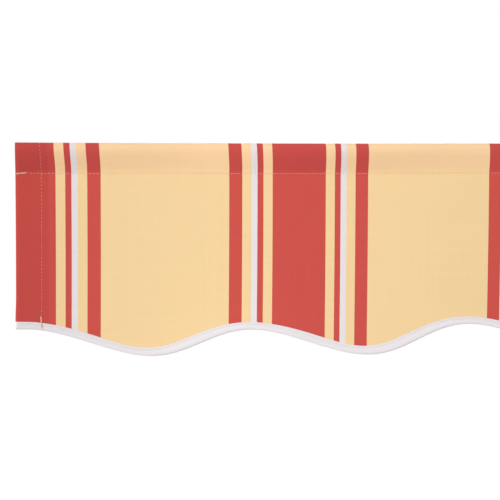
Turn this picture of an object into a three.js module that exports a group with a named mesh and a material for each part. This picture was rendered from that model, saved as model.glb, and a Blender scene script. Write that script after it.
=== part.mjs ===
// A scalloped awning valance, in millimetres: a strip of striped cloth that hangs along the front of an awning.
// X runs along the strip, the front faces -Y, and +Z is up. The origin is on the axis of the rod that the sleeve
// at the top is made to hold, half way along the strip.
//
// The cloth is one flat cut. Both sides are folded to the back as hems, and then the top is folded to the back
// and sewn down as a sleeve. The flat cut has two directions of its own: u runs across it from the middle, and v
// runs up it from where the sleeve closes. foldedPoint() takes a place on the flat cut to its place on the finished
// valance, so the cloth, its binding and its sewing threads all follow the same folds.
import * as THREE from 'three';

// Overall sizes
const finishedWidth = 1525; // between the outsides of the two side folds
const dropHeight = 237.5; // from the top of the sleeve to the lowest point of the scallops

// Scalloped lower edge
const nominalScallopPitch = 250; // a whole number of scallops is fitted between the two end crests
const scallopDepth = 30; // from a crest down to the lowest point
const endMargin = 12.5; // from each side fold to the nearest crest
const scallopSkew = 0.32; // in radians of a scallop's turn: the lowest point comes this much late

// Sleeve
const sleeveDrop = 34; // from the top of the sleeve down to its seam
const sleeveDepth = 15; // clear space from front to back where the sleeve is widest
const rodAxisBelowTop = 10;
const rodAxisForward = 5; // how far the rod's axis lies in front of the panel
const sleeveTail = 8; // cloth left below the seam at the back

// Side hems
const hemStitchInset = 27.5; // from a side fold to its stitches
const hemStitchMargin = 8; // from those stitches to the cut edge at the back
const hemSplay = 35; // height above the binding in which the two layers of a hem come together

// Cloth, tape and thread
const clothThickness = 0.6;
const tapeThickness = 0.5;
const bindingWidth = 10.5; // how far up each face the tape reaches
const bindingStitchInset = 2.5; // from the tape's cut edge down to its stitches
const threadDiameter = 0.5;
const clearance = 0.3; // air between two pieces, and between two layers of cloth

// Bar tacks at the ends of the sleeve's seam
const tackLength = 10;
const tackHeight = 2.3;
const tackInset = 1.2; // from the side fold to the tack

// How finely curves are divided
const columnsPerScallop = 10;
const sleeveSteps = 16;
const foldSteps = 4;
const threadSides = 6;

// Sizes that follow from these
const scallopRun = finishedWidth - 2 * endMargin;
const scallopCount = Math.max(1, Math.round(scallopRun / nominalScallopPitch));
const scallopPitch = scallopRun / scallopCount;

const halfCloth = clothThickness / 2;
const threadRadius = threadDiameter / 2;
const layerPitch = clothThickness + clearance;
const tapeInner = halfCloth + clearance;
const tapeOuter = tapeInner + tapeThickness;
const threadOnCloth = halfCloth + clearance + threadRadius;
const threadOnTape = tapeOuter + clearance + threadRadius;
const threadOverThread = threadDiameter + clearance; // how much further out a thread passes over another

// Between the layers of a hem: next to each other above, and with two stitched tapes between them below
const hemGapAbove = layerPitch;
const hemGapBound = 2 * (threadOnTape + threadRadius) + clearance;
// Between the front and the back of the sleeve where it closes: plain, and with two hem layers and their threads
const legGapPlain = layerPitch;
const legGapHemmed = 2 * (layerPitch + threadOnCloth + threadRadius) + clearance;

const foldLine = finishedWidth / 2 - (hemGapAbove + clothThickness) / 2;
const hemStitchX = finishedWidth / 2 - hemStitchInset;
const flatHalfWidth = foldLine + Math.PI * hemGapAbove / 2 + (foldLine - hemStitchX) + hemStitchMargin;
const legRampOuter = hemStitchX - hemStitchMargin - 5;
const legRampInner = legRampOuter - 24;

// The sleeve closes where v is 0, just above its seam, so that a tack lies clear of the cloth that leans out there
const seamBelowMouth = tackHeight / 2 + clearance;
const mouthZ = rodAxisBelowTop - sleeveDrop + seamBelowMouth;
const sleeveRise = rodAxisBelowTop - halfCloth - mouthZ;
const lowestV = rodAxisBelowTop - dropHeight - mouthZ;
const panelY = rodAxisForward;
// A drop shape of half width sin(turn) (1 - cos(turn)) / 2 is widest at a third of a turn, at 3 sqrt(3) / 8
const dropShapeWidest = 3 * Math.sqrt(3) / 8;
const sleeveBulge = (sleeveDepth / 2 + halfCloth) / dropShapeWidest;

const splayStart = bindingWidth + 1.5;
const splayEnd = splayStart + hemSplay;

// The finished lower edge: v for each u. Past the last crests it runs level, round the folds and along the hems
function lowerEdge(u) {
  const crest = lowestV + scallopDepth;
  if (Math.abs(u) >= scallopRun / 2) {
    return crest;
  }
  const turn = 2 * Math.PI * (u + scallopRun / 2) / scallopPitch;
  const late = turn - scallopSkew * (1 - Math.cos(turn)) / 2;
  return crest - scallopDepth * (1 - Math.cos(late)) / 2;
}

function lowerEdgeSlope(u) {
  const step = 0.01;
  return (lowerEdge(u + step) - lowerEdge(u - step)) / (2 * step);
}

// From the front layer of a hem back to its folded layer
function hemGap(u, v) {
  const aboveEdge = v - lowerEdge(u);
  const share = THREE.MathUtils.clamp((aboveEdge - splayStart) / hemSplay, 0, 1);
  return THREE.MathUtils.lerp(hemGapBound, hemGapAbove, share);
}

// From the front of the sleeve back to its other side, where it closes
function legGap(x) {
  const share = THREE.MathUtils.clamp((x - legRampInner) / (legRampOuter - legRampInner), 0, 1);
  return THREE.MathUtils.lerp(legGapPlain, legGapHemmed, share);
}

// The valance's side view as a path of y and z: up the panel, round the sleeve's drop shape and down its tail
function sideView(v, gap) {
  if (v <= 0) {
    return new THREE.Vector2(panelY, mouthZ + v);
  }
  if (v >= sleeveRun) {
    return new THREE.Vector2(panelY + gap, mouthZ - (v - sleeveRun));
  }
  const turn = 2 * Math.PI * v / sleeveRun;
  const rise = (1 - Math.cos(turn)) / 2;
  const lean = rodAxisForward * rise * sleeveRise / -mouthZ;
  const bulge = sleeveBulge * Math.sin(turn) * rise;
  const open = turn > Math.PI ? gap * (1 - rise) : 0;
  return new THREE.Vector2(panelY - lean - bulge + open, mouthZ + sleeveRise * rise);
}

// The length of cloth in the sleeve, once round
function sleeveLength() {
  const steps = 400;
  let length = 0;
  let before = new THREE.Vector2(0, 0);
  for (let step = 1; step <= steps; step++) {
    const turn = 2 * Math.PI * step / steps;
    const rise = (1 - Math.cos(turn)) / 2;
    const here = new THREE.Vector2(sleeveBulge * Math.sin(turn) * rise, sleeveRise * rise);
    length += here.distanceTo(before);
    before = here;
  }
  return length;
}
const sleeveRun = sleeveLength();
const tailEnd = sleeveRun + seamBelowMouth + sleeveTail;

// A place u, v on the flat cut, and a distance out of its front face, taken to the finished valance
function foldedPoint(u, v, out) {
  const side = u < 0 ? -1 : 1;
  const radius = hemGap(u, v) / 2;
  const beyond = Math.max(0, Math.abs(u) - foldLine);
  const turned = Math.min(beyond / radius, Math.PI);
  const along = Math.min(Math.abs(u), foldLine) - Math.max(0, beyond - Math.PI * radius);
  const x = side * (along + (radius + out) * Math.sin(turned));
  const depth = radius * (1 - Math.cos(turned)) - out * Math.cos(turned);

  const gap = legGap(along);
  const step = 0.05;
  const middle = sideView(v, gap);
  const direction = sideView(v + step, gap).sub(sideView(v - step, gap)).normalize();
  return new THREE.Vector3(x, middle.x + direction.y * depth, middle.y - direction.x * depth);
}

// Columns of the flat cut, from its left cut edge to its right one. A fold's columns turn with it
function panelColumns() {
  const marks = [];
  for (const mark of [foldLine, hemStitchX, legRampOuter, legRampInner]) {
    marks.push(-mark, mark);
  }
  const steps = scallopCount * columnsPerScallop;
  for (let step = 0; step <= steps; step++) {
    const u = -scallopRun / 2 + scallopRun * step / steps;
    if (marks.every((mark) => Math.abs(mark - u) > 4)) {
      marks.push(u);
    }
  }
  return marks.sort((a, b) => a - b).map((u) => ({ zone: 'panel', u }));
}

function sideColumns(side) {
  const columns = [];
  for (let step = 1; step <= foldSteps; step++) {
    columns.push({ zone: 'fold', side, share: step / foldSteps });
  }
  columns.push({ zone: 'hem', side, share: 0.5 }, { zone: 'hem', side, share: 1 });
  return columns;
}
const columns = [...sideColumns(-1).reverse(), ...panelColumns(), ...sideColumns(1)];

function columnU(column, v) {
  if (column.zone === 'panel') {
    return column.u;
  }
  const arc = Math.PI * hemGap(column.side * foldLine, v) / 2;
  const start = column.zone === 'fold' ? foldLine : foldLine + arc;
  const length = column.zone === 'fold' ? arc : flatHalfWidth - foldLine - arc;
  return column.side * (start + column.share * length);
}

function nominalU(column) {
  return column.zone === 'panel' ? column.u : column.side * foldLine;
}

// The rows of places round the sleeve
const sleeveRows = Array.from({ length: sleeveSteps + 1 }, (_, step) => sleeveRun * step / sleeveSteps);

// A closed solid from rings of points: walls join each ring to the next, and cap closes the first and the last
function solidFromRings(rings, cap) {
  const size = rings[0].length;
  const index = [];
  for (let ring = 0; ring < rings.length - 1; ring++) {
    for (let corner = 0; corner < size; corner++) {
      const here = ring * size + corner;
      const beside = ring * size + (corner + 1) % size;
      index.push(here, beside, here + size, beside, beside + size, here + size);
    }
  }
  const last = (rings.length - 1) * size;
  for (const [a, b, c] of cap) {
    index.push(a, c, b, last + a, last + b, last + c);
  }
  const geometry = new THREE.BufferGeometry().setFromPoints(rings.flat());
  geometry.setIndex(facingOut(geometry.getAttribute('position'), index));
  geometry.computeVertexNormals();
  return geometry;
}

// The triangles as they are, or all turned round if they enclose their volume from the inside
function facingOut(position, index) {
  const corner = (place) => new THREE.Vector3().fromBufferAttribute(position, index[place]);
  let volume = 0;
  for (let place = 0; place < index.length; place += 3) {
    volume += corner(place).dot(corner(place + 1).cross(corner(place + 2)));
  }
  return volume < 0 ? index.toReversed() : index;
}

// A ring that goes along one row of points and back along another, and the cap that fits it
function stripRing(front, back) {
  return [...front, ...back.toReversed()];
}

function stripCap(count) {
  const cap = [];
  for (let place = 0; place < count - 1; place++) {
    const behind = 2 * count - 1 - place;
    cap.push([place, place + 1, behind], [place + 1, behind - 1, behind]);
  }
  return cap;
}

// The cloth, with its lower edge tucked into the binding
function clothGeometry() {
  const rings = columns.map((column) => {
    const u = nominalU(column);
    const edge = lowerEdge(u);
    const tuck = tapeOuter * Math.hypot(1, lowerEdgeSlope(u));
    const rows = [edge + tuck, edge + splayStart, edge + splayEnd, ...sleeveRows, tailEnd];
    const face = (out) => rows.map((v) => foldedPoint(columnU(column, v), v, out));
    return stripRing(face(halfCloth), face(-halfCloth));
  });
  return solidFromRings(rings, stripCap(rings[0].length / 2));
}

// A place on the bound edge: up from the finished lower edge, square to it, and out from the middle of the cloth
function edgePoint(column, up, out) {
  const u = columnU(column, lowerEdge(nominalU(column)));
  const slope = lowerEdgeSlope(u);
  const square = Math.hypot(1, slope);
  return { u: u - up * slope / square, v: lowerEdge(u) + up / square, out };
}

// The tape, folded round the cloth's edge: straight up both faces from a half round fold
function bindingGeometry() {
  const section = (radius) => {
    const line = [[bindingWidth, radius]];
    for (let step = 0; step <= foldSteps; step++) {
      const turned = Math.PI * step / foldSteps;
      line.push([tapeOuter - radius * Math.sin(turned), radius * Math.cos(turned)]);
    }
    line.push([bindingWidth, -radius]);
    return line;
  };
  const rings = columns.map((column) => {
    const face = (radius) => section(radius).map(([up, out]) => {
      const place = edgePoint(column, up, out);
      return foldedPoint(place.u, place.v, place.out);
    });
    return stripRing(face(tapeOuter), face(tapeInner));
  });
  return solidFromRings(rings, stripCap(rings[0].length / 2));
}

// A thread along places on the flat cut. Its section is round, or stretched up the cloth where a place is a tack
function threadGeometry(places) {
  const middles = places.map(({ u, v, out }) => foldedPoint(u, v, out));
  const rings = places.map(({ u, v, out, halfHeight = threadRadius }, place) => {
    const before = middles[Math.max(0, place - 1)];
    const after = middles[Math.min(places.length - 1, place + 1)];
    const along = after.clone().sub(before).normalize();
    const outward = foldedPoint(u, v, out + 1).sub(middles[place]);
    outward.addScaledVector(along, -outward.dot(along)).normalize();
    const across = along.clone().cross(outward);
    return Array.from({ length: threadSides }, (_, side) => {
      const angle = 2 * Math.PI * side / threadSides;
      return middles[place].clone()
        .addScaledVector(outward, threadRadius * Math.cos(angle))
        .addScaledVector(across, halfHeight * Math.sin(angle));
    });
  });
  const cap = Array.from({ length: threadSides - 2 }, (_, side) => [0, side + 1, side + 2]);
  return solidFromRings(rings, cap);
}

// The sleeve's seam at v: from tack to tack along the strip, passing over the threads of the side hems
function sleeveThread(v) {
  const halfCrossing = 1.5 * threadDiameter + clearance;
  const crossingRamp = 2;
  const end = finishedWidth / 2 - tackInset;
  const tack = { out: threadOnCloth, halfHeight: tackHeight / 2 };
  const plain = { out: threadOnCloth };
  const lifted = { out: threadOnCloth + threadOverThread };
  const half = [
    { u: legRampInner, ...plain },
    { u: legRampOuter, ...plain },
    { u: hemStitchX - halfCrossing - crossingRamp, ...plain },
    { u: hemStitchX - halfCrossing, ...lifted },
    { u: hemStitchX + halfCrossing, ...lifted },
    { u: hemStitchX + halfCrossing + crossingRamp, ...plain },
    { u: end - tackLength - threadDiameter, ...plain },
    { u: end - tackLength, ...tack },
    { u: end, ...tack },
  ];
  const left = half.map((place) => ({ ...place, u: -place.u })).reverse();
  return threadGeometry([...left, ...half].map((place) => ({ ...place, v })));
}

// A side hem's stitches, from the lower edge over the binding, up the panel and round the sleeve. They show on the
// front layer, and again on the folded layer behind it
function hemThread(side, layer) {
  const edgeU = side * (layer === 'front' ? hemStitchX : flatHalfWidth);
  const square = Math.hypot(1, lowerEdgeSlope(edgeU));
  const upFromEdge = (distance) => lowerEdge(edgeU) + distance * square;
  const bindingStitch = upFromEdge(bindingWidth - bindingStitchInset);
  const halfCrossing = threadDiameter + clearance;
  const rows = [
    [upFromEdge(tapeOuter), threadOnTape],
    [bindingStitch - 2 * halfCrossing, threadOnTape],
    [bindingStitch - halfCrossing, threadOnTape + threadOverThread],
    [bindingStitch + halfCrossing, threadOnTape + threadOverThread],
    [upFromEdge(bindingWidth + clearance), threadOnTape],
    [lowerEdge(edgeU) + splayStart, threadOnCloth],
    [lowerEdge(edgeU) + splayEnd, threadOnCloth],
    ...sleeveRows.map((v) => [v, threadOnCloth]),
    [tailEnd - 2, threadOnCloth],
  ];
  return threadGeometry(rows.map(([v, out]) => {
    const back = foldLine + Math.PI * hemGap(side * foldLine, v) / 2 + foldLine - hemStitchX;
    return { u: side * (layer === 'front' ? hemStitchX : back), v, out };
  }));
}

// The stitches that hold the tape, on one face of the flat cut
function bindingThread(face) {
  const up = bindingWidth - bindingStitchInset;
  return threadGeometry(columns.map((column) => edgePoint(column, up, face * threadOnTape)));
}

const cloth = { color: 0xf0cf97, roughness: 0.85, metalness: 0 };
const tape = { color: 0xe4e2e6, roughness: 0.8, metalness: 0 };
const thread = { color: 0xe6c890, roughness: 0.6, metalness: 0 };
const whiteThread = { color: 0xe9e7ea, roughness: 0.6, metalness: 0 };

const valance = new THREE.Group();

function addPiece(name, geometry, look) {
  const mesh = new THREE.Mesh(geometry, new THREE.MeshStandardMaterial(look));
  mesh.name = name;
  valance.add(mesh);
}

addPiece('valance_cloth', clothGeometry(), cloth);
addPiece('edge_binding', bindingGeometry(), tape);
addPiece('sleeve_needle_thread', sleeveThread(-seamBelowMouth), thread);
addPiece('sleeve_bobbin_thread', sleeveThread(sleeveRun + seamBelowMouth), thread);
for (const [name, side] of [['left', -1], ['right', 1]]) {
  addPiece(`${name}_hem_needle_thread`, hemThread(side, 'front'), thread);
  addPiece(`${name}_hem_bobbin_thread`, hemThread(side, 'back'), thread);
}
addPiece('binding_needle_thread', bindingThread(1), whiteThread);
addPiece('binding_bobbin_thread', bindingThread(-1), whiteThread);

export default valance;
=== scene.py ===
# %% [markdown]
# # A scalloped awning valance
#
# The object is a strip of striped awning cloth that hangs along the front edge of a window awning. It has a
# sleeve sewn along its top for a rod, a folded hem down each side, and a wavy lower edge bound in white tape.
#
# Everything here is cloth, tape and sewing thread, so the lesson is about one idea: a sewn thing is a flat
# cut that has been folded. We describe the folds once, as a function from the flat cut to the finished shape,
# and then the cloth, its binding and all its stitches are drawn on the flat cut and sent through it. The
# alternative is to model each layer by hand, but then every seam has to be matched up again by eye.

import bpy
import numpy as np
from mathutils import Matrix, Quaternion, Vector


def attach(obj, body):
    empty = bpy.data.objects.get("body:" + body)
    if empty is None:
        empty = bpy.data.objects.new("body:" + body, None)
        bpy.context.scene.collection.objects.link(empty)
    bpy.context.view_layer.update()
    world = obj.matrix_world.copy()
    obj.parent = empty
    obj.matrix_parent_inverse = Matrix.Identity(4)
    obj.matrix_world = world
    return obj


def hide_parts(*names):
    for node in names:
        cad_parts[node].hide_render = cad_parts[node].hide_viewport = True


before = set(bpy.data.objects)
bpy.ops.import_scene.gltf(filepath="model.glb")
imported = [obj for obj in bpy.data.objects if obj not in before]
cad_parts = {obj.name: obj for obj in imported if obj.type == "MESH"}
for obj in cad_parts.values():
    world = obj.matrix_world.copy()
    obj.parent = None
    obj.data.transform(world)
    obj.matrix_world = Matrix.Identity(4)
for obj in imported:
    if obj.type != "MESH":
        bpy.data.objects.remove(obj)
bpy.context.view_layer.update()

# %% [markdown]
# ## Sizes
#
# Blender works in metres here and a tailor in millimetres, so one constant turns the second into the first.
# The overall sizes are those of the CAD model, and only the spaces between the layers differ: CAD solids need
# air between them, and real layers of cloth touch.

# %% Sizes
MM = 0.001

HALF_WIDTH = 762.5 * MM
TOP_Z = 10 * MM
PANEL_Y = 5 * MM
LOWEST_Z = -227.5 * MM

SCALLOP_PITCH = 250 * MM
SCALLOP_DEPTH = 30 * MM
SCALLOP_RUN = 1500 * MM
SCALLOP_SKEW = 0.32

SEAM_BELOW_MOUTH = 0.9 * MM
MOUTH_Z = -22.55 * MM
SLEEVE_LEAN = 7.15 * MM
SLEEVE_BULGE = 12 * MM
TAIL_BELOW_SEAM = 8 * MM

HEM_STITCH_X = 735 * MM
HEM_STITCH_MARGIN = 8 * MM

CLOTH_THICKNESS = 0.5 * MM
TAPE_THICKNESS = 0.45 * MM
THREAD_RADIUS = 0.155 * MM
TOUCH = 0.06 * MM

LAYER = CLOTH_THICKNESS + TOUCH
HALF_CLOTH = CLOTH_THICKNESS / 2
TAPE_MIDDLE = HALF_CLOTH + 0.02 * MM + TAPE_THICKNESS / 2
TAPE_FACE = TAPE_MIDDLE + TAPE_THICKNESS / 2
SLEEVE_RISE = TOP_Z - HALF_CLOTH - MOUTH_Z
LOWEST_V = LOWEST_Z - MOUTH_Z
CREST_V = LOWEST_V + SCALLOP_DEPTH
print("layers of cloth lie", round(LAYER / MM, 2), "mm apart, from middle to middle")

# %% [markdown]
# ## The flat cut
#
# A place on the flat cut is given by u, across it from the middle, and v, up it from where the sleeve closes.
# The lower edge is a wave in u. A plain cosine is nearly right, but on the real valance each low point comes
# a little late, as if the wave leant to one side. Shifting the angle by a small amount that is itself a wave
# gives that lean with one extra number.

# %% The lower edge


def smooth(share):
    """Goes from 0 to 1 as share does, level at both ends: three times its square less twice its cube."""
    share = np.clip(share, 0, 1)
    return share * share * (3 - 2 * share)


def mix(low, high, share):
    """From low to high as share goes from 0 to 1."""
    return low + (high - low) * share


def scallop_turn(u):
    """The angle that the wave of scallops has reached at u: a whole turn for each pitch."""
    return 2 * np.pi * (u + SCALLOP_RUN / 2) / SCALLOP_PITCH


def lower_edge(u):
    """The height v of the lower edge at u: a crest, less the depth times half of one minus the cosine of a
    late angle. The angle is late by the skew times the same wave. Past the last crests the edge is level."""
    turn = scallop_turn(u)
    late = turn - SCALLOP_SKEW * (1 - np.cos(turn)) / 2
    wave = CREST_V - SCALLOP_DEPTH * (1 - np.cos(late)) / 2
    return np.where(np.abs(u) >= SCALLOP_RUN / 2, CREST_V, wave)


def edge_square(u):
    """The slope of the lower edge at u, and the length of a step of one along u on that slope."""
    step = 0.01 * MM
    slope = (lower_edge(u + step) - lower_edge(u - step)) / (2 * step)
    return slope, np.hypot(1, slope)


edge_heights = lower_edge(np.linspace(-HALF_WIDTH, HALF_WIDTH, 2001))
print("crest to low point:", round(np.ptp(edge_heights) / MM, 1), "mm")

# %% [markdown]
# ## The sleeve's side view
#
# Seen from the end, the cloth goes up the panel, round a drop shape and down again behind its own seam. The
# drop is a closed curve in one angle, pointed where the seam closes it and round at the top.
#
# The angle doesn't run evenly along the curve, and a woven pattern would stretch. So the curve is measured
# once, where the sleeve is as full as it is on average, and a table turns a length of cloth into an angle.

# %% The sleeve's side view
MEAN_FULLNESS = 0.68
FULLNESS_CHANGE = 0.14
FULLNESS_START = 390 * MM
FULLNESS_WAVE = 310 * MM


def swing(place, start, length):
    """A cosine wave along the strip, by how far to the left of the middle a crest is, and by its length."""
    return np.cos(2 * np.pi * (place + start) / length)


def sleeve_fullness(x):
    """How full the sleeve is at x, as a slow wave: it hangs looser in some places than in others."""
    return MEAN_FULLNESS + FULLNESS_CHANGE * swing(x, FULLNESS_START, FULLNESS_WAVE)


def drop_shape(turn, fullness):
    """How far the sleeve reaches forwards and upwards at an angle. Up is half of one minus the cosine, and
    forward is the lean times that plus the bulge times the sine times that, all times the fullness."""
    rise = (1 - np.cos(turn)) / 2
    forward = SLEEVE_LEAN * rise + SLEEVE_BULGE * np.sin(turn) * rise
    return fullness * forward, SLEEVE_RISE * rise


sleeve_turns = np.linspace(0, 2 * np.pi, 2001)
sleeve_steps = np.hypot(*[np.diff(axis) for axis in drop_shape(sleeve_turns, MEAN_FULLNESS)])
sleeve_lengths = np.concatenate([[0], np.cumsum(sleeve_steps)])
SLEEVE_RUN = sleeve_lengths[-1]
FRONT_SEAM_V = -SEAM_BELOW_MOUTH
BACK_SEAM_V = SLEEVE_RUN + SEAM_BELOW_MOUTH
TAIL_END = BACK_SEAM_V + TAIL_BELOW_SEAM


def side_view(x, v, gap):
    """y and z of the cloth's middle at x and v. np.interp holds the angle at its first or last value outside
    the sleeve, so there only the height changes. gap is the space to the back layer at the mouth."""
    turn = np.interp(v, sleeve_lengths, sleeve_turns)
    forward, up = drop_shape(turn, sleeve_fullness(x))
    opened = np.where(turn > np.pi, gap * (1 - up / SLEEVE_RISE), 0)
    y = PANEL_Y - forward + opened
    z = MOUTH_Z + up + np.minimum(v, 0) - np.maximum(v - SLEEVE_RUN, 0)
    return y, z


print("cloth once round the sleeve:", round(SLEEVE_RUN / MM, 1), "mm")

# %% [markdown]
# ## Folding the hems
#
# Each side is folded to the back. The fold itself is a half circle about 1.5 mm across, and the layers come
# together at the stitches. Near the lower edge two thicknesses of tape keep them further apart. Where the
# sleeve closes over the hems, four layers lie on each other, so its back stands off a little more there.

# %% Folding the hems
FOLD_RADIUS = 0.75 * MM
FOLD_RADIUS_BOUND = 1.4 * MM
HEM_GAP_BOUND = 2.8 * MM
SPLAY_START = 12.5 * MM
SPLAY_LENGTH = 24 * MM
HEM_SETTLE = 18 * MM
LEG_GAP_HEMMED = 2.5 * MM
LEG_RAMP = (698 * MM, 722 * MM)
FOLD_LINE = HALF_WIDTH - FOLD_RADIUS - HALF_CLOTH
BACK_STITCH_U = FOLD_LINE + np.pi * FOLD_RADIUS + FOLD_LINE - HEM_STITCH_X
FLAT_HALF = BACK_STITCH_U + HEM_STITCH_MARGIN


def above_tape(rise):
    """From 0 where the tape lies in a side fold to 1 well above it, by the height above the lower edge."""
    return smooth((rise - SPLAY_START) / SPLAY_LENGTH)


def fold_radius(rise):
    """The radius of a side fold at a height above the lower edge: larger where the tape lies in it."""
    return mix(FOLD_RADIUS_BOUND, FOLD_RADIUS, above_tape(rise))


def fold(u, v, out):
    """The folded place of u, v on the flat cut, out from its middle. Past the fold line u first turns round a
    half circle and then runs back inwards, so x is the length along plus the radius times the sine of the
    angle turned, and the depth behind the panel is the radius times one minus its cosine. That depth is then
    laid square to the side view, whose way is taken from a place a little after and one a little before."""
    side = np.where(u < 0, -1.0, 1.0)
    rise = v - lower_edge(u)
    radius = fold_radius(rise)
    beyond = np.maximum(0, np.abs(u) - FOLD_LINE)
    angle = np.minimum(beyond / radius, np.pi)
    inwards = np.maximum(0, beyond - np.pi * radius)
    along = np.minimum(np.abs(u), FOLD_LINE) - inwards
    x = side * (along + (radius + out) * np.sin(angle))
    hem_gap = mix(HEM_GAP_BOUND, LAYER, above_tape(rise))
    closing = (2 * radius - hem_gap) * smooth(inwards / HEM_SETTLE)
    depth = radius * (1 - np.cos(angle)) - closing - out * np.cos(angle)

    hemmed = smooth((along - LEG_RAMP[0]) / (LEG_RAMP[1] - LEG_RAMP[0]))
    gap = mix(LAYER, LEG_GAP_HEMMED, hemmed)
    step = 0.05 * MM
    y, z = side_view(x, v, gap)
    way = np.array(side_view(x, v + step, gap)) - side_view(x, v - step, gap)
    y_way, z_way = way / np.hypot(*way)
    return np.stack([x, y + z_way * depth, z - y_way * depth], axis=-1)


print("flat cut:", round(2 * FLAT_HALF / MM, 1), "mm wide")

# %% [markdown]
# ## How it hangs
#
# The folded shape is still as stiff as cardboard. Real awning cloth is firm, so it hangs nearly flat, but its
# ends turn a little to the front, slow waves grow towards the free lower edge, and the tension of the thread
# draws small puckers along every seam. Each point moves by an amount that depends only on where it is, so
# layers that touch before still touch after. A cloth simulation could do it too, but a few sine waves are
# quicker for cloth this flat and give the same result every time.

# %% How it hangs
END_CURL_LENGTH = 92 * MM
END_CURL = 6.2 * MM
CURL_AT_TOP = 0.7
SLOW_WAVES = ((4.4 * MM, 0.62, 2.17), (0.3 * MM, 0.31, 1.46), (0.5 * MM, 0.207, 0.99))
WAVES_AT_TOP = 0.6
SLEEVE_SKEW = 1.9 * MM
SKEW_FADE = 45 * MM
EDGE_WAVES = ((1.95 * MM, 0.5, -2.02), (1.46 * MM, 0.25, 2.71))
TOP_LIFT = 0.9 * MM
TOP_LIFT_START = 170 * MM
TOP_LIFT_WAVE = 800 * MM
END_LIFT = 1.0 * MM
EDGE_LIFT = 0.5 * MM
ALONG_WAVES = ((1.2 * MM, 0.75, 0.15),)
LOWER_SWAY = 0.7 * MM
PUCKER_WAVES = ((0.055 * MM, 0.0143, 0.0), (0.045 * MM, 0.0097, 1.3), (0.05 * MM, 0.0231, 2.6))
SEAM_PUCKER_REACH = 9 * MM
HEM_PUCKER_REACH = 7 * MM
SEAM_Z = MOUTH_Z - SEAM_BELOW_MOUTH


def ripple(place, waves):
    """The sum of some sine waves, each given by its height, its length and its starting angle."""
    return sum(height * np.sin(2 * np.pi * place / length + start) for height, length, start in waves)


def hang(points):
    """Moves points as the cloth hangs. Along y, the ends curl forwards with the square of the distance into
    the curl, the slow waves grow from a share of their size at the top to the whole at the bottom, and the
    puckers fade with the distance from their seam as one over one plus its square. Along z, the top rises in
    one wide hump, and the lower edge wavers and rises a little, most at its ends. Along x, the sleeve leans
    to the left except at its ends, the lower part sways to the left, and the stripes waver."""
    x, y, z = np.moveaxis(points, -1, 0)
    below = smooth((MOUTH_Z - z) / (MOUTH_Z - LOWEST_Z))
    into_curl = np.maximum(0, np.abs(x) - (HALF_WIDTH - END_CURL_LENGTH)) / END_CURL_LENGTH
    curl = END_CURL * into_curl**2 * mix(CURL_AT_TOP, 1.0, smooth((TOP_Z - z) / (TOP_Z - LOWEST_Z)))
    along_seam = ripple(x, PUCKER_WAVES) / (1 + ((z - SEAM_Z) / SEAM_PUCKER_REACH) ** 2)
    along_hem = ripple(z, PUCKER_WAVES) / (1 + ((np.abs(x) - HEM_STITCH_X) / HEM_PUCKER_REACH) ** 2)
    y = y - curl + mix(WAVES_AT_TOP, 1.0, below) * ripple(x, SLOW_WAVES) + along_seam + along_hem
    skew = smooth((z - SEAM_Z) / (TOP_Z - SEAM_Z)) * smooth((HALF_WIDTH - np.abs(x)) / SKEW_FADE)
    lift = TOP_LIFT * (1 + swing(x, TOP_LIFT_START, TOP_LIFT_WAVE)) ** 2 / 4
    edge_lift = EDGE_LIFT + END_LIFT * into_curl**2 + ripple(x, EDGE_WAVES)
    z = z + below**2 * edge_lift + (1 - below) * lift
    x = x + ripple(x, ALONG_WAVES) - LOWER_SWAY * below**2 - SLEEVE_SKEW * skew
    return np.stack([x, y, z], axis=-1)


def finished(u, v, out):
    """A place on the flat cut, taken through the folds and then hung."""
    u, v, out = np.broadcast_arrays(u, v, out)
    return hang(fold(u, v, out))


corner = finished(-FOLD_LINE, lower_edge(-FOLD_LINE), 0.0)
print("lower left corner hangs at", np.round(corner / MM, 1), "mm")

# %% [markdown]
# ## From arrays to meshes
#
# A surface worked out with numpy is an array of points, row by row. Blender wants a list of them and, for
# each face, the numbers of the four that it joins. Each corner of a face also gets its place on the flat cut,
# in metres, as its UV. The stripes and the weave are then drawn on the flat cut, and follow every fold.

# %% From arrays to meshes


def add_object(name, data):
    """A new object, placed in the scene."""
    thing = bpy.data.objects.new(name, data)
    bpy.context.scene.collection.objects.link(thing)
    return thing


def make_piece(name, points, faces, corner_uv, material, end_faces=()):
    """A mesh object at the origin from points, quads and the UV of each quad's corners. Its open borders are
    marked sharp, so that a wall added there keeps its edge. end_faces are the caps of a tube."""
    mesh = bpy.data.meshes.new(name)
    mesh.from_pydata(points.reshape(-1, 3), [], faces.tolist() + [list(face) for face in end_faces])
    layer = mesh.uv_layers.new(name="flat_cut")
    uv = np.zeros((len(mesh.loops), 2))
    uv[: corner_uv.size // 2] = corner_uv.reshape(-1, 2)
    layer.data.foreach_set("uv", uv.ravel())
    edge_of_loop = np.zeros(len(mesh.loops), dtype=np.int32)
    mesh.loops.foreach_get("edge_index", edge_of_loop)
    border = np.bincount(edge_of_loop, minlength=len(mesh.edges)) == 1
    sharp = mesh.attributes.new("sharp_edge", "BOOLEAN", "EDGE")
    sharp.data.foreach_set("value", border)
    mesh.polygons.foreach_set("use_smooth", np.ones(len(mesh.polygons), dtype=bool))
    mesh.materials.append(material)
    mesh.update()
    return add_object(name, mesh)


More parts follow.
